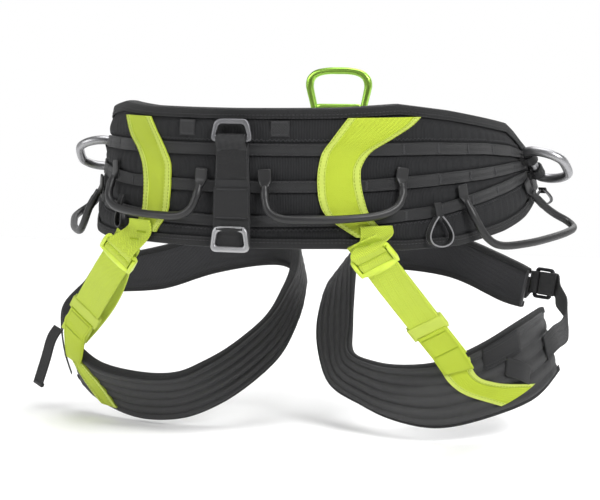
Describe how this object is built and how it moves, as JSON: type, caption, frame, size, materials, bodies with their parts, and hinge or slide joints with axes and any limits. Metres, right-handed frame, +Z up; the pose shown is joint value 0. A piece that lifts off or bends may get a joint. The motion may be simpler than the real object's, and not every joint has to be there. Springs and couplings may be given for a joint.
{
  "type": "tree climbing saddle",
  "caption": "Padded tree climbing saddle with a wide waist belt, leg loops, webbing straps with buckles, attachment rings and moulded gear loops.",
  "frame": {"origin": "on the wearer's upright axis at the middle height of the back of the waist belt", "axes": "+X to the wearer's right, +Y to the wearer's front, +Z up"},
  "size_m": [0.6059, 0.3954, 0.3745],
  "materials": {
    "green_webbing": "woven and stitched",
    "cast_aluminium": "cast, satin",
    "black_webbing": "woven webbing",
    "black_plastic": "moulded",
    "green_plastic": "moulded, light gloss",
    "grey_aluminium": "grey anodised, satin",
    "dark_buckle": "dark coating",
    "spacer_mesh": "spacer mesh",
    "ribbed_laminate": "ribbed laminate",
    "green_anodised": "anodised green, satin"
  },
  "bodies": {
    "harness": {"belt_trim_left": "green_webbing", "belt_trim_right": "green_webbing", "dorsal_closure_patch": "black_webbing", "dorsal_label": "black_webbing", "dorsal_ring_flap": "black_webbing", "dorsal_strap": "black_webbing", "front_strap_left": "black_webbing", "front_strap_right": "black_webbing", "hip_tab_left": "green_webbing", "hip_tab_right": "green_webbing", "lateral_ring_left_loop_lower": "black_webbing", "lateral_ring_left_loop_upper": "black_webbing", "lateral_ring_right_loop_lower": "black_webbing", "lateral_ring_right_loop_upper": "black_webbing", "leg_strap_keeper_left": "green_webbing", "leg_strap_keeper_right": "green_webbing", "leg_strap_left": "green_webbing", "leg_strap_right": "green_webbing", "riser_left": "black_webbing", "riser_right": "black_webbing", "tool_clip_left": "black_plastic", "tool_loop_drop_right": "black_webbing", "tool_loop_side_right": "black_webbing", "ventral_bridge": "black_webbing", "waist_band_lower": "black_webbing", "waist_band_middle": "black_webbing", "waist_band_upper": "black_webbing", "waist_binding_bottom": "black_webbing", "waist_binding_top": "black_webbing", "waist_buckle_left": "dark_buckle", "waist_buckle_right": "dark_buckle", "waist_lining": "spacer_mesh", "waist_patch_left": "black_webbing", "waist_patch_right": "black_webbing", "waist_shell": "ribbed_laminate"},
    "dorsal_adjust_ring": {"dorsal_adjust_ring": "cast_aluminium"},
    "dorsal_restraint_ring": {"dorsal_restraint_ring": "cast_aluminium"},
    "gear_loop_rear_left": {"gear_loop_rear_left": "black_plastic"},
    "gear_loop_rear_right": {"gear_loop_rear_right": "black_plastic"},
    "gear_loop_side_left": {"gear_loop_side_left": "black_plastic"},
    "gear_loop_side_right": {"gear_loop_side_right": "black_plastic"},
    "ladder_lock_left": {"ladder_lock_left": "green_plastic"},
    "ladder_lock_right": {"ladder_lock_right": "green_plastic"},
    "lateral_ring_left": {"lateral_ring_left": "grey_aluminium"},
    "lateral_ring_right": {"lateral_ring_right": "grey_aluminium"},
    "leg_buckle_bar_left": {"leg_buckle_bar_left": "dark_buckle"},
    "leg_buckle_bar_right": {"leg_buckle_bar_right": "dark_buckle"},
    "leg_loop_left": {"leg_buckle_frame_left": "dark_buckle", "leg_closure_strap_left": "black_webbing", "leg_lining_left": "spacer_mesh", "leg_pad_left": "ribbed_laminate", "leg_tail_left": "black_webbing", "leg_trim_left": "green_webbing"},
    "leg_loop_right": {"leg_buckle_frame_right": "dark_buckle", "leg_closure_strap_right": "black_webbing", "leg_keeper_panel_right": "black_webbing", "leg_lining_right": "spacer_mesh", "leg_pad_right": "ribbed_laminate", "leg_trim_right": "green_webbing"},
    "ventral_ring": {"ventral_ring": "green_anodised"}
  },
  "joints": [
    {"name": "ventral_ring_tilt", "type": "hinge", "parent": "harness", "child": "ventral_ring", "pos_m": [-0.003, 0.122, 0.0366], "axis": [-1, 0, 0], "range_deg": [0, 90]},
    {"name": "lateral_ring_right_swing", "type": "hinge", "parent": "harness", "child": "lateral_ring_right", "pos_m": [0.24799, -0.03048, 0.0045], "axis": [-0.2009, -0.7374, 0.6448], "range_deg": [-32, 40]},
    {"name": "lateral_ring_left_swing", "type": "hinge", "parent": "harness", "child": "lateral_ring_left", "pos_m": [-0.22048, -0.0187, 0.006], "axis": [0.1657, -0.7196, 0.6743], "range_deg": [-32, 40]},
    {"name": "dorsal_adjust_ring_lift", "type": "hinge", "parent": "harness", "child": "dorsal_adjust_ring", "pos_m": [0, -0.25433, 0.0375], "axis": [1, 0, 0], "range_deg": [0, 60]},
    {"name": "dorsal_restraint_ring_lift", "type": "hinge", "parent": "harness", "child": "dorsal_restraint_ring", "pos_m": [0, -0.25972, -0.0465], "axis": [-1, 0, 0], "range_deg": [0, 90]},
    {"name": "gear_loop_rear_right_lift", "type": "hinge", "parent": "harness", "child": "gear_loop_rear_right", "pos_m": [0.09301, -0.22707, -0.0055], "axis": [-0.9182, -0.396, -0.0076], "range_deg": [0, 50]},
    {"name": "gear_loop_rear_left_lift", "type": "hinge", "parent": "harness", "child": "gear_loop_rear_left", "pos_m": [-0.09138, -0.21988, -0.0055], "axis": [-0.8724, 0.4887, 0.0075], "range_deg": [0, 50]},
    {"name": "gear_loop_side_right_lift", "type": "hinge", "parent": "harness", "child": "gear_loop_side_right", "pos_m": [0.22671, -0.09574, -0.024], "axis": [-0.3791, -0.9254, 0], "range_deg": [0, 35]},
    {"name": "gear_loop_side_left_lift", "type": "hinge", "parent": "harness", "child": "gear_loop_side_left", "pos_m": [-0.20241, -0.09292, -0.024], "axis": [-0.3297, 0.9441, 0], "range_deg": [0, 35]},
    {"name": "ladder_lock_right_tilt", "type": "hinge", "parent": "harness", "child": "ladder_lock_right", "pos_m": [0.12855, -0.2282, -0.06922], "axis": [-0.8807, -0.0638, -0.4694], "range_deg": [0, 30]},
    {"name": "ladder_lock_left_tilt", "type": "hinge", "parent": "harness", "child": "ladder_lock_left", "pos_m": [-0.12811, -0.21927, -0.07424], "axis": [-0.7339, -0.0439, 0.6778], "range_deg": [0, 30]},
    {"name": "leg_loop_right_swing", "type": "hinge", "parent": "harness", "child": "leg_loop_right", "pos_m": [0.11, 0.104, -0.106], "axis": [-1, 0, 0], "range_deg": [0, 12], "deforming": ["leg_strap_right", "leg_strap_keeper_right"]},
    {"name": "leg_buckle_bar_right_turn", "type": "hinge", "parent": "leg_loop_right", "child": "leg_buckle_bar_right", "pos_m": [0.23942, 0.09389, -0.13518], "axis": [0.1121, 0.1431, 0.9833], "range_deg": [0, 40]},
    {"name": "leg_loop_left_swing", "type": "hinge", "parent": "harness", "child": "leg_loop_left", "pos_m": [-0.11, 0.102, -0.106], "axis": [-1, 0, 0], "range_deg": [0, 12], "deforming": ["leg_strap_left", "leg_strap_keeper_left"]},
    {"name": "leg_buckle_bar_left_turn", "type": "hinge", "parent": "leg_loop_left", "child": "leg_buckle_bar_left", "pos_m": [-0.27062, 0.07078, -0.14708], "axis": [-0.1284, -0.0026, 0.9917], "range_deg": [0, 40]}
  ]
}
